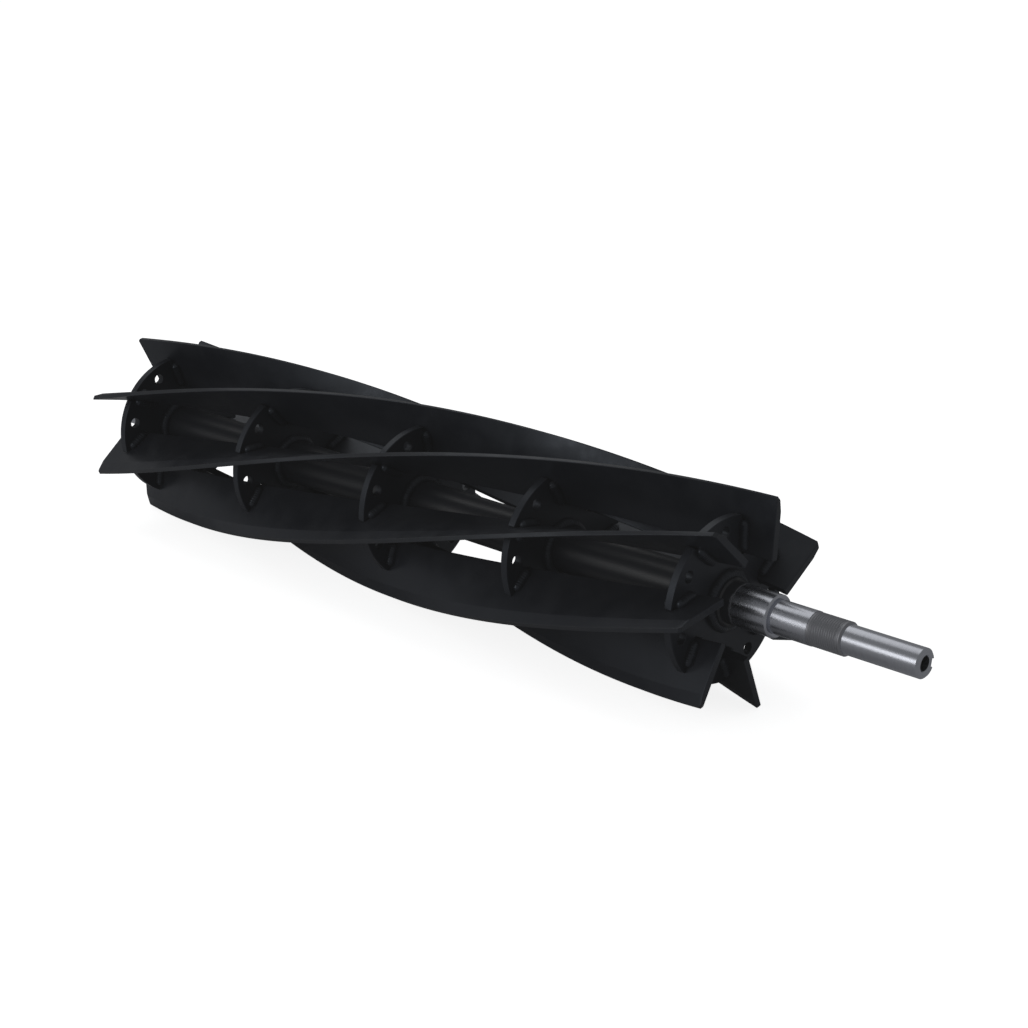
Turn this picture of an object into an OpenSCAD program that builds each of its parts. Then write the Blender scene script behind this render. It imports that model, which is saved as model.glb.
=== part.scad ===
// Cutting reel of a powered reel mower: a welded rotor of helical blades on slotted discs.
// The reel axis is X, with the drive end at +X. Z is up.
// The origin is on the axis, at the middle of the drive-end bearing seat.

/* [Reel] */
// Diameter over the ground blade edges
reel_d = 127; // [120:0.5:135]
// Number of blades
blade_count = 7; // [5:1:9]
// Turn of the blades from one end of the reel to the other, in degrees
blade_twist = 134; // [60:1:160]
// Turn of the first blade at the idle end, from straight up, in degrees
reel_turn = 65.6; // [0:0.1:360]

/* [Blades] */
// Thickness of the blade bar
blade_t = 4.5; // [3:0.5:5.5]
// Width of the blade bar, from its ground edge to its root
blade_w = 37; // [33:0.5:40]
// Lean of the blade from the radius, in degrees
blade_lean = 14; // [5:0.5:18]
// Length of blade that runs past the middle of each end disc
blade_overhang = 21.5; // [15:0.5:40]
// Chamfer on the outer corners of the blade ends
blade_chamfer = 1.5; // [0.5:0.1:3]

/* [Discs] */
// Number of discs on the shaft
disc_count = 5; // [3:1:6]
// Distance from one disc to the next
disc_pitch = 124.5; // [90:0.5:140]
// Outside diameter of a disc
disc_d = 98; // [94:0.5:106]
// Thickness of a disc
disc_t = 5; // [3:0.5:7]
// Gap on each side of a blade in its slot
slot_gap = 0.25; // [0.1:0.05:0.5]
// Gap between the root of a blade and the bottom of its slot
slot_end_gap = 0.5; // [0.3:0.1:1.5]
// Diameter of the small holes between the blades
hole_d = 7; // [4:0.5:9]
// Distance from the rim of a disc to the middle of its holes
hole_inset = 8.4; // [7:0.1:11]
// Gap between the shaft and the bore of a disc
bore_gap = 0.1; // [0.05:0.05:0.3]

/* [Welds] */
// Leg of the beads between blade and disc
blade_bead = 4; // [2.5:0.5:5]
// Distance from the ends of a bead to the rim of the disc and to the root of the blade
bead_inset = 2; // [1:0.5:4]
// Gap between a bead and the side of the blade it follows
bead_gap = 0.3; // [0.25:0.05:0.5]
// Leg of the ring welds between disc and shaft
hub_bead = 4; // [2.5:0.5:6]
// Gap between a ring weld and the shaft
hub_gap = 0.05; // [0.02:0.01:0.2]
// Rise of a weld face over the straight line between its legs
bead_crown = 0.6; // [0.2:0.1:1]

/* [Shaft between the discs] */
// Diameter of the bar that carries the discs
core_d = 28.6; // [26:0.2:34]
// Length of that bar past each end disc
core_overhang = 5.5; // [5:0.5:12]

/* [Drive end] */
// Diameter of the shoulder
shoulder_d = 25; // [22:0.5:25.5]
// Length of the shoulder
shoulder_len = 31; // [20:0.5:45]
// Diameter of the bearing seat
seat_d = 20; // [19.5:0.1:21.5]
// Length of the bearing seat
seat_len = 25; // [15:0.5:35]
// Outside diameter of the threaded band
thread_d = 19.5; // [18.2:0.1:19.9]
// Length of the threaded band
thread_len = 22.3; // [12:0.1:30]
// Diameter of the drive spigot
spigot_d = 17; // [16:0.5:17.5]
// Length of the drive spigot
spigot_len = 48; // [35:0.5:60]
// Diameter of the bore in the end of the spigot
end_bore_d = 8.5; // [5:0.1:9]
// Depth of that bore
end_bore_len = 28; // [15:1:34]
// Diameter of the mouth of that bore
end_mouth_d = 10; // [9.4:0.1:10.5]
// Width of the keyway
key_w = 5; // [3:0.5:6]
// Depth of the keyway below the spigot's surface
key_depth = 3; // [2:0.1:3.2]
// Length of the keyway from the end of the spigot
key_len = 30; // [15:1:34]
// Turn of the keyway from straight up, in degrees
key_turn = 260; // [0:1:360]

/* [Idle end] */
// Length of the shoulder
idle_shoulder_len = 16; // [10:0.5:30]
// Diameter of the bearing seat
idle_seat_d = 20; // [17:0.5:21]
// Length of the bearing seat
idle_seat_len = 28; // [15:0.5:40]

/* [Shaft edges] */
// Chamfer on the ends and steps of the shaft
shaft_chamfer = 1; // [0.5:0.1:1.5]
// Width of the relief groove beside a ground seat
groove_w = 1.6; // [1:0.1:2.5]
// Depth of that groove
groove_depth = 0.3; // [0.2:0.05:0.5]
// Diameter of the centre drilled in the idle end
centre_d = 6; // [4:0.5:8]

/* [Hidden] */
$fn = 96;
slices_per_turn = 215;
section_edges = 9;
cut = 1;

tip_r = reel_d / 2;
disc_r = disc_d / 2;
core_r = core_d / 2;
hole_ring_r = disc_r - hole_inset;

// Places along the axis
seat_x = -seat_len / 2;
thread_x = seat_len / 2;
spigot_x = thread_x + thread_len;
end_x = spigot_x + spigot_len;
core_x = seat_x - shoulder_len;
last_disc_x = core_x - core_overhang - disc_t / 2;
first_disc_x = last_disc_x - disc_pitch * (disc_count - 1);
idle_core_x = first_disc_x - disc_t / 2 - core_overhang;
idle_seat_x = idle_core_x - idle_shoulder_len;
idle_end_x = idle_seat_x - idle_seat_len;
blade_x = first_disc_x - blade_overhang;
blade_len = disc_pitch * (disc_count - 1) + 2 * blade_overhang;
twist_rate = blade_twist / blade_len;
slices = ceil(slices_per_turn * blade_twist / 360);

// The blade in its own plane: p runs outwards along the blade, s across it
mid_s = -tip_r * sin(blade_lean);
root_p = tip_r * cos(blade_lean) - blade_w;
twist_room = disc_r * twist_rate * PI / 180 * disc_t;
slot_w = blade_t + twist_room + 2 * slot_gap;
hole_turn = 180 / blade_count + blade_lean + asin(mid_s / hole_ring_r);
bead_far_s = abs(mid_s) + blade_t / 2 + bead_gap + blade_bead;
bead_top_p = sqrt(disc_r * disc_r - bead_far_s * bead_far_s) - bead_inset;
bead_root_p = root_p + bead_inset;
bead_slope = (bead_top_p + bead_root_p) / 2 * twist_rate * PI / 180;

function disc_x(i) = first_disc_x + disc_pitch * (i - 1);
function blade_turn(k, x) = reel_turn + 360 / blade_count * (k - 1) - twist_rate * (x - blade_x);
// Distance p at which the line at s meets the ground edge
function edge_p(s) = sqrt(tip_r * tip_r - s * s);

// Turns a shape drawn upright on the XY plane so that it stands along the reel axis
module along_axis() {
    rotate(a = 120, v = [1, 1, 1]) children();
}

// Turns a shape about the reel axis so that its Y direction points at the given turn
module at_turn(turn) {
    rotate([turn + 90, 0, 0]) children();
}

module blade_section() {
    near_s = mid_s - blade_t / 2;
    far_s = mid_s + blade_t / 2;
    polygon([
        [root_p, near_s],
        [edge_p(near_s), near_s],
        [edge_p(mid_s), mid_s],
        [edge_p(far_s), far_s],
        [root_p, far_s]
    ]);
}

// What is turned off the outer corners of the blades at one end of the reel
module blade_end_waste() {
    rotate_extrude()
    polygon([
        [tip_r - blade_chamfer - cut, -cut],
        [tip_r + cut, -cut],
        [tip_r + cut, blade_chamfer + cut]
    ]);
}

module blade(k) {
    color([0.09, 0.09, 0.1])
    translate([blade_x, 0, 0])
    at_turn(blade_turn(k, blade_x) + blade_lean)
    along_axis()
    difference() {
        linear_extrude(height = blade_len, twist = blade_twist, slices = slices, $fn = section_edges)
        blade_section();
        blade_end_waste();
        translate([0, 0, blade_len]) mirror([0, 0, 1]) blade_end_waste();
    }
}

module disc_outline() {
    difference() {
        circle(d = disc_d);
        circle(d = core_d + 2 * bore_gap);
        for (k = [1 : blade_count]) rotate(360 / blade_count * (k - 1)) {
            rotate(blade_lean)
            translate([root_p - slot_end_gap, mid_s - slot_w / 2])
            square([disc_d, slot_w]);
            rotate(hole_turn)
            translate([hole_ring_r, 0])
            circle(d = hole_d);
        }
    }
}

module disc(i) {
    color([0.07, 0.07, 0.08])
    translate([disc_x(i) - disc_t / 2, 0, 0])
    at_turn(blade_turn(1, disc_x(i)))
    along_axis()
    linear_extrude(height = disc_t)
    disc_outline();
}

// One bead on the +X face of a disc, on the side of the blade that side names (-1 or 1)
module blade_weld_bead(side) {
    face_x = disc_t / 2;
    function side_s(x) = mid_s - bead_slope * x + side * (blade_t / 2 + bead_gap);
    root_s = side_s(face_x);
    crown = bead_crown / sqrt(2);
    translate([0, bead_top_p, 0])
    rotate([90, 0, 0])
    linear_extrude(height = bead_top_p - bead_root_p)
    polygon([
        [face_x, root_s],
        [face_x, root_s + side * blade_bead],
        [face_x + blade_bead / 2 + crown, root_s + side * (blade_bead / 2 + crown)],
        [face_x + blade_bead, side_s(face_x + blade_bead)]
    ]);
}

module blade_welds(i) {
    color([0.1, 0.1, 0.11])
    for (k = [1 : blade_count])
        translate([disc_x(i), 0, 0])
        at_turn(blade_turn(k, disc_x(i)) + blade_lean)
        for (side = [-1, 1]) {
            blade_weld_bead(side);
            // The other face is the same bead turned end for end about the blade's own line
            translate([0, 0, 2 * mid_s])
            rotate([0, 180, 0])
            blade_weld_bead(side);
        }
}

// Ring of weld on the +X face of a disc
module hub_weld_ring() {
    inner_r = core_r + hub_gap;
    crown = bead_crown / sqrt(2);
    along_axis()
    rotate_extrude()
    polygon([
        [inner_r, disc_t / 2],
        [inner_r + hub_bead, disc_t / 2],
        [inner_r + hub_bead / 2 + crown, disc_t / 2 + hub_bead / 2 + crown],
        [inner_r, disc_t / 2 + hub_bead]
    ]);
}

module hub_welds(i) {
    color([0.1, 0.1, 0.11])
    translate([disc_x(i), 0, 0])
    for (face = [0, 1])
        mirror([face, 0, 0])
        hub_weld_ring();
}

// Half outline of the shaft as [radius, place along the axis]
module shaft_outline() {
    c = shaft_chamfer;
    g = groove_depth;
    polygon([
        [0, idle_end_x],
        [idle_seat_d / 2 - c, idle_end_x],
        [idle_seat_d / 2, idle_end_x + c],
        [idle_seat_d / 2, idle_seat_x - groove_w],
        [idle_seat_d / 2 - g, idle_seat_x - groove_w],
        [idle_seat_d / 2 - g, idle_seat_x],
        [shoulder_d / 2 - c, idle_seat_x],
        [shoulder_d / 2, idle_seat_x + c],
        [shoulder_d / 2, idle_core_x],
        [core_r - c, idle_core_x],
        [core_r, idle_core_x + c],
        [core_r, core_x - c],
        [core_r - c, core_x],
        [shoulder_d / 2, core_x],
        [shoulder_d / 2, seat_x - c],
        [shoulder_d / 2 - c, seat_x],
        [seat_d / 2 - g, seat_x],
        [seat_d / 2 - g, seat_x + groove_w],
        [seat_d / 2, seat_x + groove_w],
        [seat_d / 2, thread_x],
        [thread_d / 2, thread_x],
        [thread_d / 2, spigot_x - c],
        [thread_d / 2 - c, spigot_x],
        [spigot_d / 2, spigot_x],
        [spigot_d / 2, end_x - c],
        [spigot_d / 2 - c, end_x],
        [0, end_x]
    ]);
}

// Tapping bore with a countersunk mouth and a drill point, in the end of the spigot
module end_bore() {
    mouth_depth = (end_mouth_d - end_bore_d) / 2;
    point_len = end_bore_d / 2 * tan(30);
    rotate_extrude()
    polygon([
        [0, end_x - end_bore_len - point_len],
        [end_bore_d / 2, end_x - end_bore_len],
        [end_bore_d / 2, end_x - mouth_depth],
        [end_mouth_d / 2, end_x],
        [end_mouth_d / 2, end_x + cut],
        [0, end_x + cut]
    ]);
}

module keyway() {
    floor_r = spigot_d / 2 - key_depth;
    round_x = end_x - key_len + key_w / 2;
    at_turn(key_turn) {
        translate([round_x, floor_r, -key_w / 2])
        cube([key_len, key_depth + cut, key_w]);
        translate([round_x, floor_r, 0])
        rotate([-90, 0, 0])
        cylinder(d = key_w, h = key_depth + cut);
    }
}

// Sixty-degree lathe centre in the idle end
module idle_centre() {
    centre_depth = centre_d / 2 / tan(30);
    rotate_extrude()
    polygon([
        [0, idle_end_x - cut],
        [centre_d / 2, idle_end_x - cut],
        [centre_d / 2, idle_end_x],
        [0, idle_end_x + centre_depth]
    ]);
}

module reel_shaft() {
    color([0.55, 0.56, 0.58])
    difference() {
        along_axis() rotate_extrude() shaft_outline();
        along_axis() end_bore();
        along_axis() idle_centre();
        keyway();
    }
}

reel_shaft();
for (i = [1 : disc_count]) {
    disc(i);
    hub_welds(i);
    blade_welds(i);
}
for (k = [1 : blade_count]) {
    blade(k);
}
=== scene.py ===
"""Looks of the cutting reel of a powered reel mower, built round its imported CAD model.

The reel axis is X with the drive end at +X, and Z is up. Lengths are in metres. A turn is an angle about
the reel axis, from straight up and towards -Y. In the plane of a blade, p runs outwards along the blade and s
runs across it.
"""

import logging
import math
from collections.abc import Iterable, Sequence
from dataclasses import dataclass, field
from enum import Enum
from typing import Any

import bmesh
import bpy
from mathutils import Matrix, Vector, noise


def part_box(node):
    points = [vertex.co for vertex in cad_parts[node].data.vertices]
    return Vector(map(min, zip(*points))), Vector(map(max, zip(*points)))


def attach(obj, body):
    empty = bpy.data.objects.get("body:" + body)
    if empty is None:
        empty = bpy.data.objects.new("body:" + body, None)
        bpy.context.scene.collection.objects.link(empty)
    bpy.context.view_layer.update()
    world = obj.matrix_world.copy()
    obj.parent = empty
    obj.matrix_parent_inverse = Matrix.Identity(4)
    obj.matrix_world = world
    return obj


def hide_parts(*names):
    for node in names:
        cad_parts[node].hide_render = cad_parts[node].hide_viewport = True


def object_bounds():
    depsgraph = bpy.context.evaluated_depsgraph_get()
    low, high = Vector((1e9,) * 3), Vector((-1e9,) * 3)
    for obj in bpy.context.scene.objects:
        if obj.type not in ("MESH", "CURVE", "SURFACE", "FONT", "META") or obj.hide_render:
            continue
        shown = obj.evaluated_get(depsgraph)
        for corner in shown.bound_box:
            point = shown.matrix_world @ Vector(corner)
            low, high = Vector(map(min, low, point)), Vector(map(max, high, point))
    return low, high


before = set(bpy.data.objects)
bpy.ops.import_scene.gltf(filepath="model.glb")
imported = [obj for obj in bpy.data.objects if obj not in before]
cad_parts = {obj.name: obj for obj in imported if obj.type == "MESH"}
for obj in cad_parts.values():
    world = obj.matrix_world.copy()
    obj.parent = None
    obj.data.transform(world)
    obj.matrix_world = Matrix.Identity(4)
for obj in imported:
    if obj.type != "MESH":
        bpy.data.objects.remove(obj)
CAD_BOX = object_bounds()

logging.basicConfig(level=logging.INFO, format="%(message)s")
log = logging.getLogger("cutting_reel")

BODY = "root"
SMOOTH_ANGLE = math.radians(35)
FLAT_ANGLE = math.radians(1)
MERGE_DISTANCE = 1e-6

Point = tuple[float, float, float]
Colour = tuple[float, float, float]


class Face(Enum):
    """The face of a disc that a weld lies on, as the sign of its direction along X."""

    DRIVE = 1
    IDLE = -1


class Side(Enum):
    """The side of a blade that a weld lies on, as the sign of its direction along s."""

    LEADING = -1
    TRAILING = 1


class Slot(Enum):
    """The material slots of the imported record."""

    BLADES = "reel_paint"
    DISCS = "disc_paint"
    WELDS = "weld_paint"
    SHAFT = "shaft_steel"


# Node trees


class Wiring:
    """Adds nodes to a node tree and links them, so that a tree reads like a formula."""

    def __init__(self, tree: bpy.types.NodeTree) -> None:
        """Starts on the node tree that the nodes go into."""
        self.tree = tree

    def node(self, kind: str, inputs: dict[str | int, Any] | None = None, **settings: Any) -> bpy.types.Node:
        """Adds one node.

        Args:
            kind: The node's type name.
            inputs: Its inputs by name or number. A socket is linked, and any other value is set.
            settings: The node's own properties.

        Returns:
            The new node.
        """
        made = self.tree.nodes.new(kind)
        for name, value in settings.items():
            setattr(made, name, value)
        self.feed(made, inputs or {})
        return made

    def feed(self, made: bpy.types.Node, inputs: dict[str | int, Any]) -> None:
        """Links or sets inputs of a node.

        Args:
            made: The node.
            inputs: Its inputs by name or number. A socket is linked, and any other value is set.
        """
        for key, value in inputs.items():
            if isinstance(value, bpy.types.NodeSocket):
                self.tree.links.new(value, made.inputs[key])
            else:
                made.inputs[key].default_value = value

    def math(self, operation: str, *values: Any, clamp: bool = False) -> bpy.types.NodeSocket:
        """Adds a Math node on up to three sockets or numbers, and returns its result's socket."""
        made = self.node("ShaderNodeMath", dict(enumerate(values)), operation=operation, use_clamp=clamp)
        return made.outputs[0]

    def ramp(
        self, value: Any, low: float, high: float, to_low: float = 0.0, to_high: float = 1.0
    ) -> bpy.types.NodeSocket:
        """Maps a value smoothly from one range to another, and holds it at the ends."""
        inputs = {0: value, 1: low, 2: high, 3: to_low, 4: to_high}
        return self.node("ShaderNodeMapRange", inputs, interpolation_type="SMOOTHSTEP").outputs[0]

    def mix(self, share: Any, first: Any, second: Any) -> bpy.types.NodeSocket:
        """Mixes two numbers by the share of the second."""
        return self.node("ShaderNodeMix", {0: share, 2: first, 3: second}, data_type="FLOAT").outputs[0]

    def mix_colour(self, share: Any, first: Any, second: Any) -> bpy.types.NodeSocket:
        """Mixes two colours.

        Args:
            share: The share of the second, from 0 to 1.
            first: The colour at share 0, as a socket or three numbers.
            second: The colour at share 1, as a socket or three numbers.

        Returns:
            The mixed colour's socket.
        """
        ends = [v if isinstance(v, bpy.types.NodeSocket) else (*v, 1.0) for v in (first, second)]
        made = self.node("ShaderNodeMix", {0: share, 6: ends[0], 7: ends[1]}, data_type="RGBA")
        return made.outputs[2]

    def noise(
        self,
        position: Any,
        size: float,
        detail: float = 2.0,
        roughness: float = 0.5,
        stretch: Point = (1, 1, 1),
    ) -> bpy.types.NodeSocket:
        """Adds noise of a given grain.

        Args:
            position: The position's socket, in metres.
            size: The width of one grain, in metres.
            detail: The number of finer layers.
            roughness: The weight of the finer layers.
            stretch: How much longer a grain is along each axis.

        Returns:
            The noise's value, from 0 to 1.
        """
        scale = tuple(1 / (size * length) for length in stretch)
        placed = self.node("ShaderNodeMapping", {"Vector": position, "Scale": scale}).outputs[0]
        inputs = {"Vector": placed, "Scale": 1.0, "Detail": detail, "Roughness": roughness}
        return self.node("ShaderNodeTexNoise", inputs).outputs[0]


def new_tree(
    name: str, kind: str, inputs: dict[str, str], outputs: dict[str, str]
) -> tuple[Wiring, Any, Any]:
    """Starts a node group with named sockets.

    Args:
        name: The group's name.
        kind: ShaderNodeTree or GeometryNodeTree.
        inputs: Each input's name and socket type, such as Float.
        outputs: Each output's name and socket type.

    Returns:
        The wiring, the group input node and the group output node.
    """
    tree = bpy.data.node_groups.new(name, kind)
    for label, socket in inputs.items():
        tree.interface.new_socket(label, in_out="INPUT", socket_type=f"NodeSocket{socket}")
    for label, socket in outputs.items():
        tree.interface.new_socket(label, in_out="OUTPUT", socket_type=f"NodeSocket{socket}")
    wiring = Wiring(tree)
    return wiring, wiring.node("NodeGroupInput"), wiring.node("NodeGroupOutput")


# Effects that several finishes share


@dataclass
class Effects:
    """The shader node groups that the finishes share, each built once, and the sizes of their grains."""

    peel_size: float = 0.0017
    grain_size: float = 0.0004
    grain_share: float = 0.25
    wave_size: float = 0.045
    wave_stretch: float = 2.5
    patch_size: float = 0.02
    cloud_size: float = 0.03
    speck_size: float = 0.0006
    speck_share: float = 0.8
    fine_mark: float = 0.0001
    fine_stretch: float = 120
    coarse_mark: float = 0.0005
    coarse_stretch: float = 60
    coarse_share: float = 0.6

    def __post_init__(self) -> None:
        """Builds the groups."""
        self.spray = self._spray()
        self.dust = self._dust()
        self.lathe = self._lathe()

    def _spray(self) -> bpy.types.NodeTree:
        """Builds the sprayed coat: orange peel, slow waves of the sheet under it and an uneven tone.

        Returns:
            The node group.
        """
        wires, given, result = new_tree(
            "Sprayed coat",
            "ShaderNodeTree",
            {"Position": "Vector", "Peel": "Float", "Wave": "Float"},
            {"Height": "Float", "Tone": "Float"},
        )
        position = given.outputs["Position"]
        peel = wires.noise(position, self.peel_size, detail=1.0)
        grain = wires.noise(position, self.grain_size, detail=1.0)
        wave = wires.noise(position, self.wave_size, detail=1.5, stretch=(self.wave_stretch, 1, 1))
        bumps = wires.math("MULTIPLY_ADD", grain, self.grain_share, peel)
        sized = wires.math("MULTIPLY", bumps, given.outputs["Peel"])
        height = wires.math("MULTIPLY_ADD", wave, given.outputs["Wave"], sized)
        patches = wires.noise(position, self.patch_size, detail=4.0, roughness=0.6)
        wires.feed(result, {"Height": height, "Tone": patches})
        return wires.tree

    def _dust(self) -> bpy.types.NodeTree:
        """Builds the dust that settles on what faces up.

        Returns:
            The node group.
        """
        wires, given, result = new_tree(
            "Settled dust",
            "ShaderNodeTree",
            {"Position": "Vector", "Amount": "Float"},
            {"Mask": "Float"},
        )
        normal = wires.node("ShaderNodeNewGeometry").outputs["Normal"]
        up = wires.node("ShaderNodeSeparateXYZ", {0: normal}).outputs[2]
        facing = wires.ramp(up, 0.0, 0.9)
        cloud = wires.noise(given.outputs["Position"], self.cloud_size, detail=5.0, roughness=0.65)
        specks = wires.noise(given.outputs["Position"], self.speck_size, detail=0.0)
        film = wires.ramp(cloud, 0.35, 0.75, 0.25, 1.0)
        grains = wires.math("MULTIPLY_ADD", wires.ramp(specks, 0.62, 0.8), self.speck_share, film)
        settled = wires.math("MULTIPLY", grains, facing)
        wires.feed(result, {"Mask": wires.math("MULTIPLY", settled, given.outputs["Amount"], clamp=True)})
        return wires.tree

    def _lathe(self) -> bpy.types.NodeTree:
        """Builds the fine rings that turning and grinding leave round the shaft.

        Returns:
            The node group.
        """
        wires, given, result = new_tree(
            "Lathe marks",
            "ShaderNodeTree",
            {"Position": "Vector"},
            {"Height": "Float", "Tone": "Float"},
        )
        position = given.outputs["Position"]
        fine_rings = (1, self.fine_stretch, self.fine_stretch)
        coarse_rings = (1, self.coarse_stretch, self.coarse_stretch)
        fine = wires.noise(position, self.fine_mark, stretch=fine_rings)
        coarse = wires.noise(position, self.coarse_mark, detail=3.0, roughness=0.6, stretch=coarse_rings)
        rings = wires.math("MULTIPLY_ADD", coarse, self.coarse_share, fine)
        wires.feed(result, {"Height": rings, "Tone": coarse})
        return wires.tree


def new_material(name: str) -> tuple[bpy.types.Material, Wiring, bpy.types.Node]:
    """Starts a material with one Principled shader.

    Args:
        name: The material's name.

    Returns:
        The material, its wiring and its Principled node.
    """
    material = bpy.data.materials.new(name)
    material.use_nodes = True
    wires = Wiring(material.node_tree)
    return material, wires, material.node_tree.nodes["Principled BSDF"]


@dataclass(frozen=True)
class BlackPaint:
    """Semi-gloss black enamel, sprayed on steel after welding."""

    name: str
    colour: Colour = (0.0105, 0.0125, 0.0180)
    faded: Colour = (0.0150, 0.0170, 0.0225)
    roughness: float = 0.28
    matt_roughness: float = 0.44
    peel_depth: float = 0.000006
    wave_depth: float = 0.00012
    dust: float = 0.05
    specular: float = 0.45
    sheen_tint: Colour = (0.80, 0.88, 1.0)
    dust_colour: Colour = (0.16, 0.155, 0.145)
    dust_dulling: float = 0.5
    # Lighter colour of the ground edge land: partly worn paint, partly a painted highlight of the lit edge
    # line.
    edge_wear_and_highlight_colour: Colour = (0.024, 0.025, 0.028)
    edge_patch_size: float = 0.004
    edge_patch_stretch: float = 4

    def material(self, effects: Effects) -> bpy.types.Material:
        """Builds the material.

        Args:
            effects: The shared shader groups.

        Returns:
            The material.
        """
        material, wires, shader = new_material(self.name)
        position = wires.node("ShaderNodeTexCoord").outputs["Object"]
        spray_inputs = {"Position": position, "Peel": self.peel_depth, "Wave": self.wave_depth}
        spray = wires.node("ShaderNodeGroup", spray_inputs, node_tree=effects.spray)
        dust_inputs = {"Position": position, "Amount": self.dust}
        settled = wires.node("ShaderNodeGroup", dust_inputs, node_tree=effects.dust).outputs["Mask"]
        # The ground-edge mask, broken up by noise, lightens the edge land as worn paint and as a painted
        # highlight of the lit edge line.
        edge = wires.node("ShaderNodeAttribute", attribute_name="edge").outputs["Fac"]
        edge_patchiness = wires.noise(position, self.edge_patch_size, detail=3.0, stretch=(self.edge_patch_stretch, 1, 1))
        edge_wear_and_highlight = wires.math("MULTIPLY", edge, wires.ramp(edge_patchiness, 0.3, 0.7, 0.5, 1.0), clamp=True)
        tone = wires.ramp(spray.outputs["Tone"], 0.3, 0.7)
        coat = wires.mix_colour(tone, self.colour, self.faded)
        coat = wires.mix_colour(edge_wear_and_highlight, coat, self.edge_wear_and_highlight_colour)
        coat = wires.mix_colour(settled, coat, self.dust_colour)
        rough = wires.mix(tone, self.roughness, self.matt_roughness)
        rough = wires.math("MULTIPLY_ADD", settled, self.dust_dulling, rough, clamp=True)
        bump = wires.node("ShaderNodeBump", {"Height": spray.outputs["Height"], "Distance": 1.0})
        shader_inputs = {
            "Specular IOR Level": self.specular,
            "Specular Tint": (*self.sheen_tint, 1.0),
            "Base Color": coat,
            "Roughness": rough,
            "Normal": bump.outputs[0],
        }
        wires.feed(shader, shader_inputs)
        return material


@dataclass(frozen=True)
class ShaftFinish:
    """Bare turned and ground steel at the ends of the shaft, with black paint on the bar between."""

    name: str
    paint_from: float
    paint_to: float
    thread_from: float
    thread_to: float
    steel: Colour = (0.585, 0.60, 0.65)
    shaded_steel: Colour = (0.545, 0.56, 0.61)
    thread_steel: Colour = (0.38, 0.385, 0.41)
    paint: Colour = (0.0130, 0.0150, 0.0200)
    steel_roughness: float = 0.24
    marked_roughness: float = 0.28
    thread_roughness: float = 0.5
    paint_roughness: float = 0.36
    spray_edge: float = 0.0012
    spray_wander: float = 0.0048
    wander_size: float = 0.006
    mark_depth: float = 0.0000003

    def material(self, effects: Effects) -> bpy.types.Material:
        """Builds the material.

        Args:
            effects: The shared shader groups.

        Returns:
            The material.
        """
        material, wires, shader = new_material(self.name)
        position = wires.node("ShaderNodeTexCoord").outputs["Object"]
        along = wires.node("ShaderNodeSeparateXYZ", {0: position}).outputs[0]
        spray_inputs = {"Position": position, "Peel": self.mark_depth, "Wave": 0.0}
        spray = wires.node("ShaderNodeGroup", spray_inputs, node_tree=effects.spray)
        lathe = wires.node("ShaderNodeGroup", {"Position": position}, node_tree=effects.lathe)
        wander = wires.noise(position, self.wander_size, detail=4.0, roughness=0.6)
        ragged = wires.math("MULTIPLY_ADD", wires.math("SUBTRACT", wander, 0.5), self.spray_wander, along)
        painted = wires.math(
            "MULTIPLY",
            wires.ramp(ragged, self.paint_from - self.spray_edge, self.paint_from + self.spray_edge),
            wires.ramp(ragged, self.paint_to + self.spray_edge, self.paint_to - self.spray_edge),
        )
        threaded = wires.math(
            "MULTIPLY",
            wires.math("GREATER_THAN", along, self.thread_from),
            wires.math("LESS_THAN", along, self.thread_to),
        )
        tone = wires.ramp(lathe.outputs["Tone"], 0.25, 0.75)
        metal = wires.mix_colour(tone, self.steel, self.shaded_steel)
        metal = wires.mix_colour(threaded, metal, self.thread_steel)
        rough = wires.mix(tone, self.steel_roughness, self.marked_roughness)
        rough = wires.mix(threaded, rough, self.thread_roughness)
        marks = wires.math("MULTIPLY", lathe.outputs["Height"], self.mark_depth)
        height = wires.mix(painted, marks, spray.outputs["Height"])
        bump = wires.node("ShaderNodeBump", {"Height": height, "Distance": 1.0})
        shader_inputs = {
            "Base Color": wires.mix_colour(painted, metal, self.paint),
            "Roughness": wires.mix(painted, rough, self.paint_roughness),
            "Metallic": wires.math("SUBTRACT", 1.0, painted),
            "Normal": bump.outputs[0],
        }
        wires.feed(shader, shader_inputs)
        return material


# Meshes


def new_object(name: str, mesh: bpy.types.Mesh) -> bpy.types.Object:
    """Puts a mesh in the scene.

    Args:
        name: The object's name.
        mesh: Its mesh.

    Returns:
        The new object.
    """
    made = bpy.data.objects.new(name, mesh)
    bpy.context.scene.collection.objects.link(made)
    return made


def rings_mesh(name: str, rings: Sequence[Sequence[Point]], closed_ends: bool = True) -> bpy.types.Mesh:
    """Skins rings of points into one shell.

    Args:
        name: The mesh's name.
        rings: Rings with the same number of points each, in order.
        closed_ends: Whether the first and last ring are filled.

    Returns:
        The mesh, with its faces pointing outwards.
    """
    count = len(rings[0])
    mesh = bpy.data.meshes.new(name)
    faces = [
        (a * count + i, a * count + (i + 1) % count, (a + 1) * count + (i + 1) % count, (a + 1) * count + i)
        for a in range(len(rings) - 1)
        for i in range(count)
    ]
    if closed_ends:
        faces.append(tuple(range(count)))
        faces.append(tuple((len(rings) - 1) * count + i for i in range(count)))
    mesh.from_pydata([point for ring in rings for point in ring], [], faces)
    tidy_mesh(mesh)
    return mesh


def tidy_mesh(mesh: bpy.types.Mesh) -> None:
    """Merges doubles, points the faces outwards and shades smoothly up to an angle.

    Args:
        mesh: The mesh, which is changed in place.
    """
    work = bmesh.new()
    work.from_mesh(mesh)
    bmesh.ops.remove_doubles(work, verts=work.verts, dist=MERGE_DISTANCE)
    bmesh.ops.dissolve_degenerate(work, edges=work.edges, dist=MERGE_DISTANCE)
    bmesh.ops.recalc_face_normals(work, faces=work.faces)
    work.to_mesh(mesh)
    work.free()
    smooth(mesh)


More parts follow.
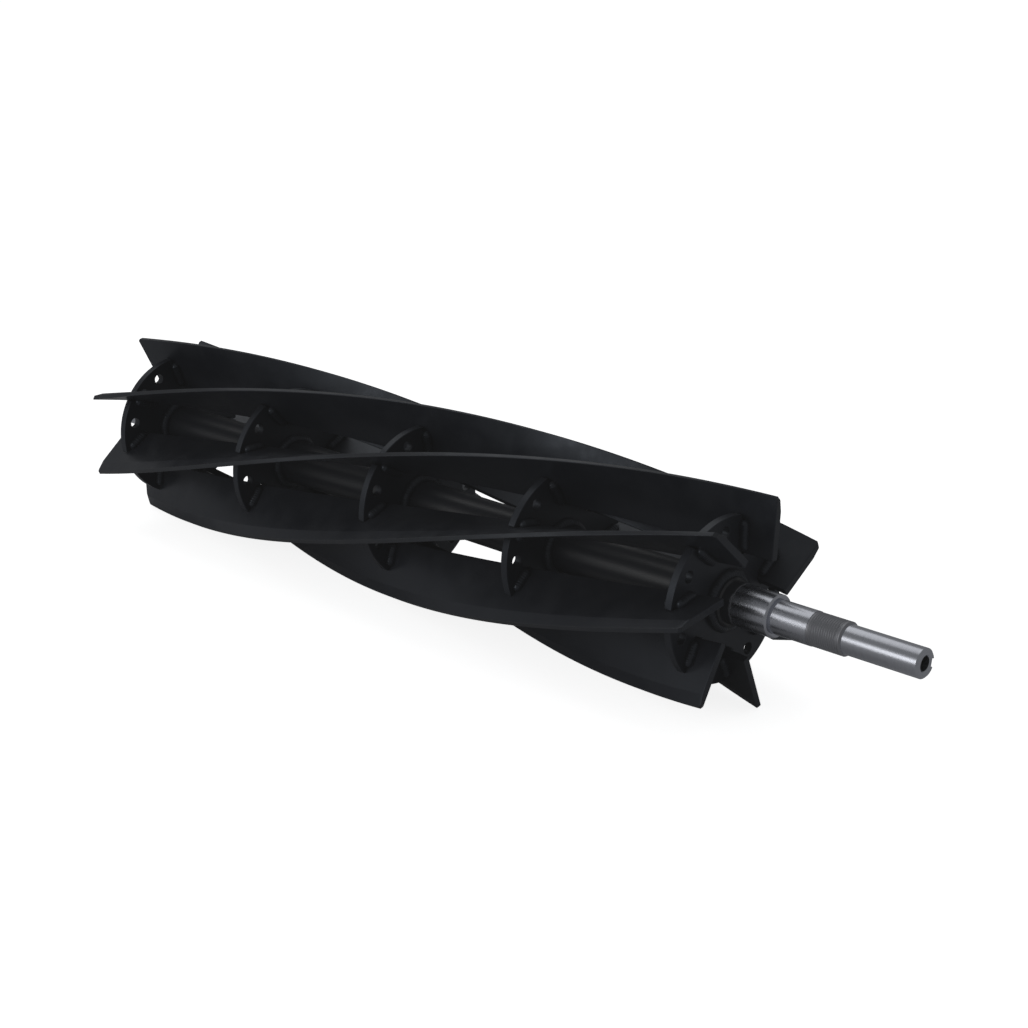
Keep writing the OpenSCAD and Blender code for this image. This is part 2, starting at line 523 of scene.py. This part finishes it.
def smooth(mesh: bpy.types.Mesh) -> None:
    """Shades a mesh smoothly across edges under the smoothing angle."""
    mesh.shade_smooth()
    mesh.set_sharp_from_angle(angle=SMOOTH_ANGLE)


def run_tree(made: bpy.types.Object, tree: bpy.types.NodeTree, values: dict[str, Any]) -> None:
    """Runs a geometry node tree on an object and keeps the result as its plain mesh.

    Args:
        made: The object, whose mesh is replaced.
        tree: The geometry node tree.
        values: The tree's inputs by name.
    """
    modifier = made.modifiers.new(tree.name, "NODES")
    modifier.node_group = tree
    for item in tree.interface.items_tree:
        if item.item_type == "SOCKET" and item.in_out == "INPUT" and item.name in values:
            modifier[item.identifier] = values[item.name]
    graph = bpy.context.evaluated_depsgraph_get()
    result = bpy.data.meshes.new_from_object(
        made.evaluated_get(graph), preserve_all_data_layers=True, depsgraph=graph
    )
    made.modifiers.clear()
    made.data = result


def dress(made: bpy.types.Object, node: str, material: bpy.types.Material) -> None:
    """Gives a finished piece its material and its place in the frame.

    Args:
        made: The piece.
        node: The CAD node that it stands for.
        material: Its material.
    """
    made.data.materials.clear()
    made.data.materials.append(material)
    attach(made, BODY)
    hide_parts(node)
    log.info("%s: %d faces, for node %s", made.name, len(made.data.polygons), node)


# Geometry node trees

STEPS_PER_RIPPLE = 5.0
BEAD_SIDES = 14
BEAD_WANDER_SCALE = 180.0
END_DOME = 1.02


def end_tree(wires: Wiring, given: Any, result: Any, geometry: bpy.types.NodeSocket) -> bpy.types.NodeTree:
    """Ends a geometry tree with real geometry and its material.

    Args:
        wires: The tree's wiring.
        given: The group input node.
        result: The group output node.
        geometry: The geometry's socket.

    Returns:
        The tree.
    """
    real = wires.node("GeometryNodeRealizeInstances", {"Geometry": geometry}).outputs[0]
    coat = {"Geometry": real, "Material": given.outputs["Material"]}
    wires.feed(result, {"Geometry": wires.node("GeometryNodeSetMaterial", coat).outputs[0]})
    return wires.tree


def helix_tree() -> bpy.types.NodeTree:
    """Builds the tree that winds a straight bar round the reel axis.

    Returns:
        The tree, with the inputs Turn, Twist Rate, Start and Material.
    """
    wires, given, result = new_tree(
        "Wind round the axis",
        "GeometryNodeTree",
        {
            "Geometry": "Geometry",
            "Turn": "Float",
            "Twist Rate": "Float",
            "Start": "Float",
            "Material": "Material",
        },
        {"Geometry": "Geometry"},
    )
    place = wires.node("GeometryNodeInputPosition").outputs[0]
    along = wires.node("ShaderNodeSeparateXYZ", {0: place}).outputs[0]
    run = wires.math("SUBTRACT", along, given.outputs["Start"])
    wound = wires.math("MULTIPLY", run, given.outputs["Twist Rate"])
    angle = wires.math("SUBTRACT", given.outputs["Turn"], wound)
    turned = wires.node("ShaderNodeVectorRotate", {"Vector": place, "Angle": angle}, rotation_type="X_AXIS")
    move = {"Geometry": given.outputs["Geometry"], "Position": turned.outputs[0]}
    return end_tree(wires, given, result, wires.node("GeometryNodeSetPosition", move).outputs[0])


def bead_tree() -> bpy.types.NodeTree:
    """Builds the tree that lays rippled weld beads along lines.

    Returns:
        The tree, with the inputs Radius, Ripple Pitch, Ripple Depth, Unevenness, Round Ends, Seed and
        Material.
    """
    wires, given, result = new_tree(
        "Weld beads along lines",
        "GeometryNodeTree",
        {
            "Geometry": "Geometry",
            "Radius": "Float",
            "Ripple Pitch": "Float",
            "Ripple Depth": "Float",
            "Unevenness": "Float",
            "Round Ends": "Float",
            "Seed": "Float",
            "Material": "Material",
        },
        {"Geometry": "Geometry"},
    )
    radius = given.outputs["Radius"]
    pitch = given.outputs["Ripple Pitch"]
    lines = wires.node("GeometryNodeMeshToCurve", {"Mesh": given.outputs["Geometry"]})
    step = wires.math("DIVIDE", pitch, STEPS_PER_RIPPLE)
    fine = wires.node("GeometryNodeResampleCurve", {"Curve": lines.outputs[0], "Length": step}, mode="LENGTH")
    run = wires.node("GeometryNodeSplineParameter").outputs["Length"]
    whole = wires.node("GeometryNodeSplineLength").outputs["Length"]
    left = wires.math("SUBTRACT", whole, run)
    nearest_end = wires.math("DIVIDE", wires.math("MINIMUM", run, left), radius, clamp=True)
    missing = wires.math("SUBTRACT", 1.0, nearest_end)
    dome = wires.math("SQRT", wires.math("SUBTRACT", END_DOME, wires.math("MULTIPLY", missing, missing)))
    ends = wires.mix(given.outputs["Round Ends"], 1.0, dome)
    place = wires.node("GeometryNodeInputPosition").outputs[0]
    wander_inputs = {"Vector": place, "W": given.outputs["Seed"], "Scale": BEAD_WANDER_SCALE, "Detail": 2.0}
    wander = wires.node("ShaderNodeTexNoise", wander_inputs, noise_dimensions="4D").outputs[0]
    pulse = wires.math("FRACT", wires.math("ADD", wires.math("DIVIDE", run, pitch), wander))
    scallop = wires.math("SINE", wires.math("MULTIPLY", pulse, math.pi))
    ripple = wires.math("MULTIPLY", wires.math("SUBTRACT", scallop, 1.0), given.outputs["Ripple Depth"])
    swell = wires.math("MULTIPLY", wires.math("SUBTRACT", wander, 0.5), given.outputs["Unevenness"])
    full = wires.math("ADD", wires.math("ADD", radius, ripple), swell)
    profile = wires.node("GeometryNodeCurvePrimitiveCircle", {"Resolution": BEAD_SIDES, "Radius": 1.0})
    tube_inputs = {
        "Curve": fine.outputs[0],
        "Profile Curve": profile.outputs[0],
        "Scale": wires.math("MULTIPLY", full, ends),
        "Fill Caps": True,
    }
    tube = wires.node("GeometryNodeCurveToMesh", tube_inputs).outputs[0]
    soft = wires.node("GeometryNodeSetShadeSmooth", {0: tube}).outputs[0]
    return end_tree(wires, given, result, soft)


# The reel


@dataclass
class Layout:
    """Where the blades and discs of the reel lie, with the places taken from the frame."""

    tip_radius: float = 0.0635
    blade_count: int = 7
    disc_count: int = 5
    twist: float = 134.0
    first_turn: float = 65.6
    lean: float = 14.0
    blade_thickness: float = 0.0045
    blade_width: float = 0.037
    core_radius: float = 0.0143
    disc_radius: float = 0.049
    blade_start: float = field(init=False)
    blade_end: float = field(init=False)
    disc_places: list[float] = field(init=False)
    disc_thickness: float = field(init=False)

    def __post_init__(self) -> None:
        """Reads the places from the frame."""
        low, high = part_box("blade_1")
        self.blade_start = low.x
        self.blade_end = high.x
        boxes = [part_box(f"disc_{i}") for i in range(1, self.disc_count + 1)]
        self.disc_places = [(low.x + high.x) / 2 for low, high in boxes]
        self.disc_thickness = boxes[0][1].x - boxes[0][0].x

    @property
    def twist_rate(self) -> float:
        """Turn of a blade along the axis, in radians for each metre."""
        return math.radians(self.twist) / (self.blade_end - self.blade_start)

    @property
    def middle_s(self) -> float:
        """Where the middle of a blade's thickness lies across it."""
        return -self.tip_radius * math.sin(math.radians(self.lean))

    @property
    def root_p(self) -> float:
        """Where a blade's root lies."""
        return self.tip_radius * math.cos(math.radians(self.lean)) - self.blade_width

    def blade_angle(self, blade: int, x: float) -> float:
        """Turns the p direction of a blade, numbered from 1, at a place along the axis, in radians."""
        first = self.first_turn + 360 / self.blade_count * (blade - 1) + self.lean
        return math.radians(first) - self.twist_rate * (x - self.blade_start)


@dataclass
class Blades:
    """The helical blades, each a flat bar wound round the axis, ground to the reel with its back relieved."""

    layout: Layout
    paint: bpy.types.Material
    helix: bpy.types.NodeTree
    root_round: float = 0.0006
    edge_round: float = 0.0004
    relief_round: float = 0.003
    land_width: float = 0.0028
    relief_depth: float = 0.007
    round_steps: int = 3
    guard: float = 0.0004
    station_step: float = 0.0022
    end_chamfer: float = 0.0015
    end_round: float = 0.0004

    def section(self, tip_radius: float, inset: float) -> list[tuple[float, float, float]]:
        """Draws a cross-section of the bar.

        Args:
            tip_radius: The radius that the outer edge is ground to here.
            inset: How far every side is drawn in.

        Returns:
            Points as p, s and 1 on the ground edge or 0 elsewhere, in order.
        """
        half = self.layout.blade_thickness / 2 - inset
        front = self.layout.middle_s + half
        back = self.layout.middle_s - half
        land = front - self.land_width + inset
        root = self.layout.root_p + inset
        tip = tip_radius - inset
        edge = Vector((math.sqrt(tip**2 - front**2), front))
        heel = Vector((math.sqrt(tip**2 - land**2), land))
        corners = [
            (Vector((root, back)), self.root_round, 0.0),
            (Vector((heel.x - self.relief_depth, back)), self.relief_round, 0.0),
            (heel, self.edge_round, 1.0),
            (edge, self.edge_round, 1.0),
            (Vector((root, front)), self.root_round, 0.0),
        ]
        points: list[tuple[float, float, float]] = []
        for index, (corner, radius, mark) in enumerate(corners):
            before = corners[index - 1][0]
            after = corners[(index + 1) % len(corners)][0]
            arc = self.rounded(before, corner, after, radius)
            if corner is heel:
                points.append((*(arc[0] + (before - corner).normalized() * self.guard), 0.0))
            points.extend((*spot, mark) for spot in arc)
            if corner is edge:
                points.append((*(arc[-1] + (after - corner).normalized() * self.guard), 0.0))
        return points

    def rounded(self, before: Vector, corner: Vector, after: Vector, radius: float) -> list[Vector]:
        """Rounds one corner of a cross-section.

        Args:
            before: The corner before it.
            corner: The corner.
            after: The corner after it.
            radius: The radius of the rounding.

        Returns:
            Points along the arc.
        """
        back = (before - corner).normalized()
        onward = (after - corner).normalized()
        half_angle = back.angle(onward) / 2
        middle = corner + (back + onward).normalized() * radius / math.sin(half_angle)
        first = corner + back * radius / math.tan(half_angle) - middle
        last = corner + onward * radius / math.tan(half_angle) - middle
        shares = [i / self.round_steps for i in range(self.round_steps + 1)]
        return [middle + radius * first.slerp(last, share) for share in shares]

    def stations(self) -> list[tuple[float, float, float]]:
        """Lists the cross-sections along the bar.

        Returns:
            For each, its place, the radius of its ground edge and how far its sides are drawn in.
        """
        tip = self.layout.tip_radius
        start, end = self.layout.blade_start, self.layout.blade_end
        near: list[tuple[float, float, float]] = []
        for i in range(self.round_steps + 1):
            angle = math.radians(90) * i / self.round_steps
            depth = self.end_round * (1 - math.sin(angle))
            inset = self.end_round * (1 - math.cos(angle))
            near.append((depth, tip - self.end_chamfer + depth, inset))
        near.append((self.end_chamfer, tip, 0.0))
        near.sort()
        count = round((end - start - 2 * self.end_chamfer) / self.station_step)
        inner_start = start + self.end_chamfer
        inner_step = (end - start - 2 * self.end_chamfer) / count
        body = [(inner_start + inner_step * i, tip, 0.0) for i in range(1, count)]
        first = [(start + depth, radius, inset) for depth, radius, inset in near]
        last = [(end - depth, radius, inset) for depth, radius, inset in reversed(near)]
        return first + body + last

    def straight_bar(self, name: str) -> bpy.types.Mesh:
        """Builds the bar before it is wound.

        Args:
            name: The mesh's name.

        Returns:
            The mesh, with the attribute edge on its ground edge.
        """
        stations = self.stations()
        sections = [self.section(radius, inset) for _, radius, inset in stations]
        rings = [[(x, -s, p) for p, s, _ in section] for (x, _, _), section in zip(stations, sections)]
        mesh = rings_mesh(name, rings)
        marks = mesh.attributes.new("edge", "FLOAT", "POINT")
        values = [mark for section in sections for _, _, mark in section]
        if len(values) != len(mesh.vertices):
            raise ValueError("the bar lost vertices, so its edge can't be marked")
        marks.data.foreach_set("value", values)
        return mesh

    def build(self) -> None:
        """Builds and dresses every blade."""
        for blade in range(1, self.layout.blade_count + 1):
            made = new_object(f"blade_{blade}_bar", self.straight_bar(f"blade_{blade}_bar"))
            values = {
                "Turn": self.layout.blade_angle(blade, self.layout.blade_start),
                "Twist Rate": self.layout.twist_rate,
                "Start": self.layout.blade_start,
                "Material": self.paint,
            }
            run_tree(made, self.helix, values)
            weights = made.modifiers.new("even_faces", "WEIGHTED_NORMAL")
            weights.keep_sharp = True
            dress(made, f"blade_{blade}", self.paint)


@dataclass
class Discs:
    """The slotted discs, cut from plate, with their edges broken."""

    layout: Layout
    paint: bpy.types.Material
    edge_break: float = 0.0009
    break_steps: int = 3

    def build(self) -> None:
        """Builds and dresses every disc from its CAD node."""
        for disc in range(1, self.layout.disc_count + 1):
            node = f"disc_{disc}"
            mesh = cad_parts[node].data.copy()
            work = bmesh.new()
            work.from_mesh(mesh)
            bmesh.ops.remove_doubles(work, verts=work.verts, dist=MERGE_DISTANCE)
            bmesh.ops.dissolve_limit(
                work, angle_limit=FLAT_ANGLE, verts=work.verts, edges=work.edges, delimit={"NORMAL"}
            )
            work.to_mesh(mesh)
            work.free()
            smooth(mesh)
            made = new_object(f"{node}_plate", mesh)
            bevel = made.modifiers.new("broken_edges", "BEVEL")
            bevel.width = self.edge_break
            bevel.segments = self.break_steps
            bevel.limit_method = "ANGLE"
            bevel.angle_limit = SMOOTH_ANGLE
            bevel.harden_normals = True
            dress(made, node, self.paint)


@dataclass
class Welds:
    """The rippled beads that hold the blades and the shaft in the discs."""

    layout: Layout
    paint: bpy.types.Material
    beads: bpy.types.NodeTree
    blade_leg: float = 0.004
    hub_leg: float = 0.004
    sink: float = 0.0012
    inset: float = 0.002
    wander: float = 0.00035
    wander_seed: int = 7
    wander_rate: float = 200
    ring_wander_rate: float = 2.5
    disc_shift: float = 7.3
    blade_shift: float = 3.1
    side_shift: float = 2.7
    ring_shift: float = 5.7
    ripple_pitch: float = 0.0016
    ripple_depth: float = 0.0002
    unevenness: float = 0.0006
    path_steps: int = 8
    ring_steps: int = 96
    ring_seed: int = 10

    def bead_radius(self, leg: float) -> float:
        """Sizes the round bead that has the given leg along each wall and is sunk into its corner."""
        return math.hypot(leg - self.sink, self.sink)

    def blade_path(self, disc: int, blade: int, face: Face, side: Side) -> list[Vector]:
        """Draws the middle line of one bead between a blade and a disc.

        Args:
            disc: The disc's number, from 1.
            blade: The blade's number, from 1.
            face: The disc's face.
            side: The blade's side.

        Returns:
            Points from the blade's root to the disc's rim.
        """
        lay = self.layout
        x = lay.disc_places[disc - 1] + face.value * (lay.disc_thickness / 2 + self.sink)
        s = lay.middle_s + side.value * (lay.blade_thickness / 2 + self.sink)
        reach = self.bead_radius(self.blade_leg)
        start = lay.root_p + self.inset
        end = math.sqrt(lay.disc_radius**2 - (abs(s) + reach) ** 2) - self.inset
        points = []
        for i in range(self.path_steps + 1):
            p = start + (end - start) * i / self.path_steps
            bead_shift = disc * self.disc_shift + blade * self.blade_shift
            corner_shift = face.value + self.side_shift * side.value
            shift = noise.noise_vector((p * self.wander_rate, bead_shift, corner_shift))
            spot = Vector((x + shift.x * self.wander, -(s + shift.y * self.wander), p))
            points.append(Matrix.Rotation(lay.blade_angle(blade, x), 3, "X") @ spot)
        return points

    def hub_path(self, disc: int, face: Face) -> list[Vector]:
        """Draws the middle line of one ring weld.

        Args:
            disc: The disc's number, from 1.
            face: The disc's face.

        Returns:
            Points once round the shaft.
        """
        lay = self.layout
        x = lay.disc_places[disc - 1] + face.value * (lay.disc_thickness / 2 + self.sink)
        radius = lay.core_radius + self.sink
        start = Vector((disc * self.ring_shift + face.value, 0, 0))
        points = []
        for i in range(self.ring_steps):
            turn = math.tau * i / self.ring_steps
            way = Vector((0, -math.sin(turn), math.cos(turn)))
            shift = noise.noise(way * self.ring_wander_rate + start) * self.wander
            points.append(way * (radius + shift) + Vector((x + shift, 0, 0)))
        return points

    def lay_beads(
        self, name: str, paths: Iterable[Sequence[Vector]], ring: bool, leg: float, seed: int
    ) -> bpy.types.Object:
        """Runs the bead tree along paths.

        Args:
            name: The piece's name.
            paths: The middle lines.
            ring: Whether each line closes on itself.
            leg: The beads' leg.
            seed: The number that sets this piece's ripples apart.

        Returns:
            The piece.
        """
        points: list[Vector] = []
        edges: list[tuple[int, int]] = []
        for path in paths:
            first = len(points)
            points.extend(path)
            edges.extend((first + i, first + i + 1) for i in range(len(path) - 1))
            if ring:
                edges.append((first + len(path) - 1, first))
        mesh = bpy.data.meshes.new(name)
        mesh.from_pydata(points, edges, [])
        made = new_object(name, mesh)
        values = {
            "Radius": self.bead_radius(leg),
            "Ripple Pitch": self.ripple_pitch,
            "Ripple Depth": self.ripple_depth,
            "Unevenness": self.unevenness,
            "Round Ends": 0.0 if ring else 1.0,
            "Seed": float(seed),
            "Material": self.paint,
        }
        run_tree(made, self.beads, values)
        tidy_mesh(made.data)
        return made

    def build(self) -> None:
        """Builds and dresses the welds of every disc."""
        noise.seed_set(self.wander_seed)
        lay = self.layout
        for disc in range(1, lay.disc_count + 1):
            paths = [
                self.blade_path(disc, blade, face, side)
                for blade in range(1, lay.blade_count + 1)
                for face in Face
                for side in Side
            ]
            made = self.lay_beads(f"blade_welds_{disc}_beads", paths, False, self.blade_leg, disc)
            dress(made, f"blade_welds_{disc}", self.paint)
            rings = [self.hub_path(disc, face) for face in Face]
            made = self.lay_beads(
                f"hub_welds_{disc}_rings", rings, True, self.hub_leg, self.ring_seed + disc
            )
            dress(made, f"hub_welds_{disc}", self.paint)


@dataclass
class Shaft:
    """The stepped shaft: a painted bar through the discs and bare journals at its ends."""

    effects: Effects
    seat_length: float = 0.025
    seat_radius: float = 0.010
    shoulder_length: float = 0.031
    shoulder_radius: float = 0.0125
    thread_length: float = 0.0223
    thread_radius: float = 0.00975
    thread_pitch: float = 0.0015
    thread_depth: float = 0.0005
    spigot_radius: float = 0.0085
    core_radius: float = 0.0143
    core_length: float = 0.514
    idle_seat_length: float = 0.028
    bore_radius: float = 0.00425
    bore_length: float = 0.028
    mouth_radius: float = 0.005
    centre_radius: float = 0.003
    groove_width: float = 0.0016
    groove_depth: float = 0.0003
    chamfer: float = 0.001
    key_width: float = 0.005
    key_depth: float = 0.003
    key_length: float = 0.030
    key_turn: float = 260.0
    sides: int = 128
    thread_steps: int = 12
    thread_slope: float = 1.35
    thread_drop: float = 0.175
    run_out_turns: float = 2
    long_step: float = 0.01
    lip: float = 0.0003
    cone_angle: float = 30.0
    key_round_step: int = 10
    paint_overlap: float = 0.0062
    idle_paint_overlap: float = 0.0045

    def __post_init__(self) -> None:
        """Works out the places along the axis from the frame."""
        low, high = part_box("reel_shaft")
        self.idle_end = low.x
        self.drive_end = high.x
        self.seat_start = -self.seat_length / 2
        self.thread_start = self.seat_length / 2
        self.spigot_start = self.thread_start + self.thread_length
        self.core_end = self.seat_start - self.shoulder_length
        self.core_start = self.core_end - self.core_length
        self.idle_seat_end = self.idle_end + self.idle_seat_length

    def outline(self) -> list[tuple[float, float]]:
        """Draws half of the shaft's section, from the bottom of the idle centre to the bottom of the bore.

        Returns:
            Points as the place along the axis and the radius.
        """
        c = self.chamfer
        deep = self.seat_radius - self.groove_depth
        slope = math.tan(math.radians(self.cone_angle))
        centre_depth = self.centre_radius / slope
        point_length = self.bore_radius * slope
        mouth_depth = self.mouth_radius - self.bore_radius
        bore_end = self.drive_end - self.bore_length
        return [
            (self.idle_end + centre_depth, 0.0),
            (self.idle_end, self.centre_radius),
            (self.idle_end, self.seat_radius - c),
            (self.idle_end + c, self.seat_radius),
            (self.idle_seat_end - self.groove_width, self.seat_radius),
            (self.idle_seat_end - self.groove_width, deep),
            (self.idle_seat_end, deep),
            (self.idle_seat_end, self.shoulder_radius - c),
            (self.idle_seat_end + c, self.shoulder_radius),
            (self.core_start, self.shoulder_radius),
            (self.core_start, self.core_radius - c),
            (self.core_start + c, self.core_radius),
            (self.core_end - c, self.core_radius),
            (self.core_end, self.core_radius - c),
            (self.core_end, self.shoulder_radius),
            (self.seat_start - c, self.shoulder_radius),
            (self.seat_start, self.shoulder_radius - c),
            (self.seat_start, deep),
            (self.seat_start + self.groove_width, deep),
            (self.seat_start + self.groove_width, self.seat_radius),
            (self.thread_start, self.seat_radius),
            (self.thread_start, self.thread_radius),
            (self.spigot_start - c, self.thread_radius),
            (self.spigot_start, self.thread_radius - c),
            (self.spigot_start, self.spigot_radius),
            (self.drive_end - c, self.spigot_radius),
            (self.drive_end, self.spigot_radius - c),
            (self.drive_end, self.mouth_radius),
            (self.drive_end - mouth_depth, self.bore_radius),
            (bore_end, self.bore_radius),
            (bore_end - point_length, 0.0),
        ]

    def fine_outline(self) -> list[tuple[float, float]]:
        """Breaks the long stretches of the outline so that the thread can be cut into it.

        Returns:
            Points as the place along the axis and the radius.
        """
        rough = self.outline()
        fine = [rough[0]]
        for (x0, r0), (x1, r1) in zip(rough, rough[1:]):
            threaded = r0 == r1 == self.thread_radius
            step = self.thread_pitch / self.thread_steps if threaded else self.long_step
            count = max(1, math.ceil(abs(x1 - x0) / step))
            if not threaded and count > 1:
                lip = min(self.lip, abs(x1 - x0) / 4) * math.copysign(1, x1 - x0)
                fine.append((x0 + lip, r0))
            fine.extend((x0 + (x1 - x0) * i / count, r0 + (r1 - r0) * i / count) for i in range(1, count))
            if not threaded and count > 1:
                fine.append((x1 - lip, r1))
            fine.append((x1, r1))
        return fine

    def thread_cut(self, x: float, turn: float) -> float:
        """Works out how deep the thread is at a place.

        Args:
            x: The place along the axis.
            turn: The turn about the axis, in radians.

        Returns:
            The depth below the thread's crest.
        """
        run_out = self.run_out_turns * self.thread_pitch
        from_end = min(x - self.thread_start, self.spigot_start - self.chamfer - x)
        if from_end <= 0:
            return 0.0
        phase = (x / self.thread_pitch - turn / math.tau) % 1.0
        wave = 1 - abs(2 * phase - 1)
        flat = min(1.0, max(0.0, wave * self.thread_slope - self.thread_drop))
        return self.thread_depth * flat * min(1.0, from_end / run_out)

    def lathe(self) -> bpy.types.Mesh:
        """Turns the outline, with the thread cut into its band.

        Returns:
            The mesh.
        """
        rings: list[list[Point]] = []
        for x, radius in self.fine_outline():
            ring = []
            for i in range(self.sides):
                turn = math.tau * i / self.sides
                depth = self.thread_cut(x, turn) if radius == self.thread_radius else 0.0
                r = radius - depth
                ring.append((x, -math.sin(turn) * r, math.cos(turn) * r))
            rings.append(ring)
        return rings_mesh("reel_shaft_bar", rings, closed_ends=False)

    def key_cutter(self) -> bpy.types.Object:
        """Builds the solid that the keyway's cutter sweeps.

        Returns:
            The object, which isn't part of the reel.
        """
        half = self.key_width / 2
        floor = self.spigot_radius - self.key_depth
        top = self.spigot_radius + self.chamfer
        middle = self.drive_end - self.key_length + half
        angles = [math.radians(a) for a in range(-90, 91, self.key_round_step)]
        around = [(middle - half * math.cos(a), half * math.sin(a)) for a in angles]
        around += [(self.drive_end + half, half), (self.drive_end + half, -half)]
        turned = Matrix.Rotation(math.radians(self.key_turn), 3, "X")
        rings = [[tuple(turned @ Vector((x, y, z))) for x, y in around] for z in (floor, top)]
        return new_object("key_cutter", rings_mesh("key_cutter", rings))

    def build(self) -> None:
        """Builds and dresses the shaft."""
        made = new_object("reel_shaft_bar", self.lathe())
        cutter = self.key_cutter()
        cut = made.modifiers.new("keyway", "BOOLEAN")
        cut.object = cutter
        cut.operation = "DIFFERENCE"
        cut.solver = "EXACT"
        graph = bpy.context.evaluated_depsgraph_get()
        result = bpy.data.meshes.new_from_object(made.evaluated_get(graph), depsgraph=graph)
        made.modifiers.clear()
        made.data = result
        bpy.data.objects.remove(cutter)
        smooth(made.data)
        finish = ShaftFinish(
            "Shaft steel and paint",
            paint_from=self.core_start - self.idle_paint_overlap,
            paint_to=self.core_end + self.paint_overlap,
            thread_from=self.thread_start,
            thread_to=self.spigot_start,
        )
        dress(made, "reel_shaft", finish.material(self.effects))


# The studio


@dataclass(frozen=True)
class Softbox:
    """A rectangular soft light that faces the reel."""

    name: str
    way: Point
    size: tuple[float, float]
    radiance: float

    def build(self, middle: Vector, reach: float) -> None:
        """Adds the light.

        Args:
            middle: The middle of the reel.
            reach: How far from it the light stands.
        """
        data = bpy.data.lights.new(self.name, "AREA")
        data.shape = "RECTANGLE"
        data.size, data.size_y = self.size
        data.energy = self.radiance * math.pi * self.size[0] * self.size[1]
        light = bpy.data.objects.new(self.name, data)
        bpy.context.scene.collection.objects.link(light)
        towards = Vector(self.way).normalized()
        turned = towards.to_track_quat("Z", "Y").to_matrix().to_4x4()
        light.matrix_world = Matrix.Translation(middle + reach * towards) @ turned


@dataclass
class Studio:
    """The pale floor, the soft lights and the camera at the photograph's viewing angle."""

    azimuth: float = 44.078
    elevation: float = 17.929
    roll: float = 0.851
    unit: float = 0.0635
    aim_x: float = -0.3005
    distance: float = 21.410
    aside: float = 0.9578
    below: float = 0.1326
    lens: float = 74.77
    sensor: float = 36
    clip: tuple[float, float] = (0.05, 200)
    floor_size: float = 30.0
    floor_colour: Colour = (0.95, 0.95, 0.95)
    floor_bounce: Colour = (0.70, 0.70, 0.71)
    floor_glow: float = 0.85
    room: float = 0.20
    backdrop: float = 1.08
    veil: float = 0.006
    room_colour: Colour = (0.97, 0.985, 1.0)
    reach: float = 3.0
    softboxes: tuple[Softbox, ...] = (
        Softbox("overhead", (-0.54, 0.20, 0.80), (2.4, 1.7), 0.64),
        Softbox("left", (-0.58, -0.74, 0.34), (1.2, 1.0), 0.65),
        Softbox("front", (-0.25, -0.94, 0.24), (1.0, 1.2), 2.5),
    )

    def build_camera(self) -> None:
        """Builds the camera."""
        azimuth, elevation, roll = (math.radians(v) for v in (self.azimuth, self.elevation, self.roll))
        back = Vector(
            (
                math.sin(azimuth) * math.cos(elevation),
                -math.cos(azimuth) * math.cos(elevation),
                math.sin(elevation),
            )
        )
        level = Vector((math.cos(azimuth), math.sin(azimuth), 0))
        upright = back.cross(level)
        right = math.cos(roll) * level + math.sin(roll) * upright
        up = math.cos(roll) * upright - math.sin(roll) * level
        place = Vector((self.aim_x, 0, 0))
        place += self.unit * (self.distance * back + self.aside * right - self.below * up)
        data = bpy.data.cameras.new("camera")
        data.lens = self.lens
        data.sensor_width = self.sensor
        data.clip_start, data.clip_end = self.clip
        camera = bpy.data.objects.new("camera", data)
        bpy.context.scene.collection.objects.link(camera)
        camera.matrix_world = Matrix.Translation(place) @ Matrix((right, up, back)).transposed().to_4x4()
        bpy.context.scene.camera = camera

    def build_floor(self) -> None:
        """Builds the floor that the reel lies on, which throws back less light than it shows."""
        half = self.floor_size / 2
        height = CAD_BOX[0].z
        mesh = bpy.data.meshes.new("floor")
        corners = [(-half, -half), (half, -half), (half, half), (-half, half)]
        mesh.from_pydata([(x, y, height) for x, y in corners], [], [(0, 1, 2, 3)])
        floor = new_object("floor", mesh)
        material, wires, shader = new_material("Pale floor")
        seen = wires.node("ShaderNodeLightPath").outputs["Is Camera Ray"]
        shader_inputs = {
            "Base Color": wires.mix_colour(seen, self.floor_bounce, self.floor_colour),
            "Emission Color": (1, 1, 1, 1),
            "Emission Strength": wires.math("MULTIPLY", seen, self.floor_glow),
            "Roughness": 0.9,
            "Specular IOR Level": 0.1,
        }
        wires.feed(shader, shader_inputs)
        mesh.materials.append(material)

    def build(self) -> None:
        """Builds the studio round the reel."""
        self.build_camera()
        self.build_floor()
        world = bpy.data.worlds.new("studio")
        world.use_nodes = True
        wires = Wiring(world.node_tree)
        shade = world.node_tree.nodes["Background"]
        seen = wires.node("ShaderNodeLightPath").outputs["Is Camera Ray"]
        strength = wires.mix(seen, self.room, self.backdrop)
        wires.feed(shade, {"Color": (*self.room_colour, 1), "Strength": strength})
        bpy.context.scene.world = world
        look = bpy.context.scene.view_settings
        look.view_transform = "Standard"
        look.use_curve_mapping = True
        look.curve_mapping.black_level = (-self.veil,) * 3
        look.curve_mapping.update()
        for softbox in self.softboxes:
            softbox.build(Vector((self.aim_x, 0, 0)), self.reach)


def main() -> None:
    """Builds the studio and every piece of the reel."""
    Studio().build()
    effects = Effects()
    layout = Layout()
    paint = BlackPaint("Black paint on blades").material(effects)
    plate_paint = BlackPaint("Black paint on discs", roughness=0.36).material(effects)
    weld_paint = BlackPaint("Black paint on welds", peel_depth=0.00002).material(effects)
    Blades(layout, paint, helix_tree()).build()
    Discs(layout, plate_paint).build()
    Welds(layout, weld_paint, bead_tree()).build()
    Shaft(effects).build()


if __name__ == "__main__":
    main()
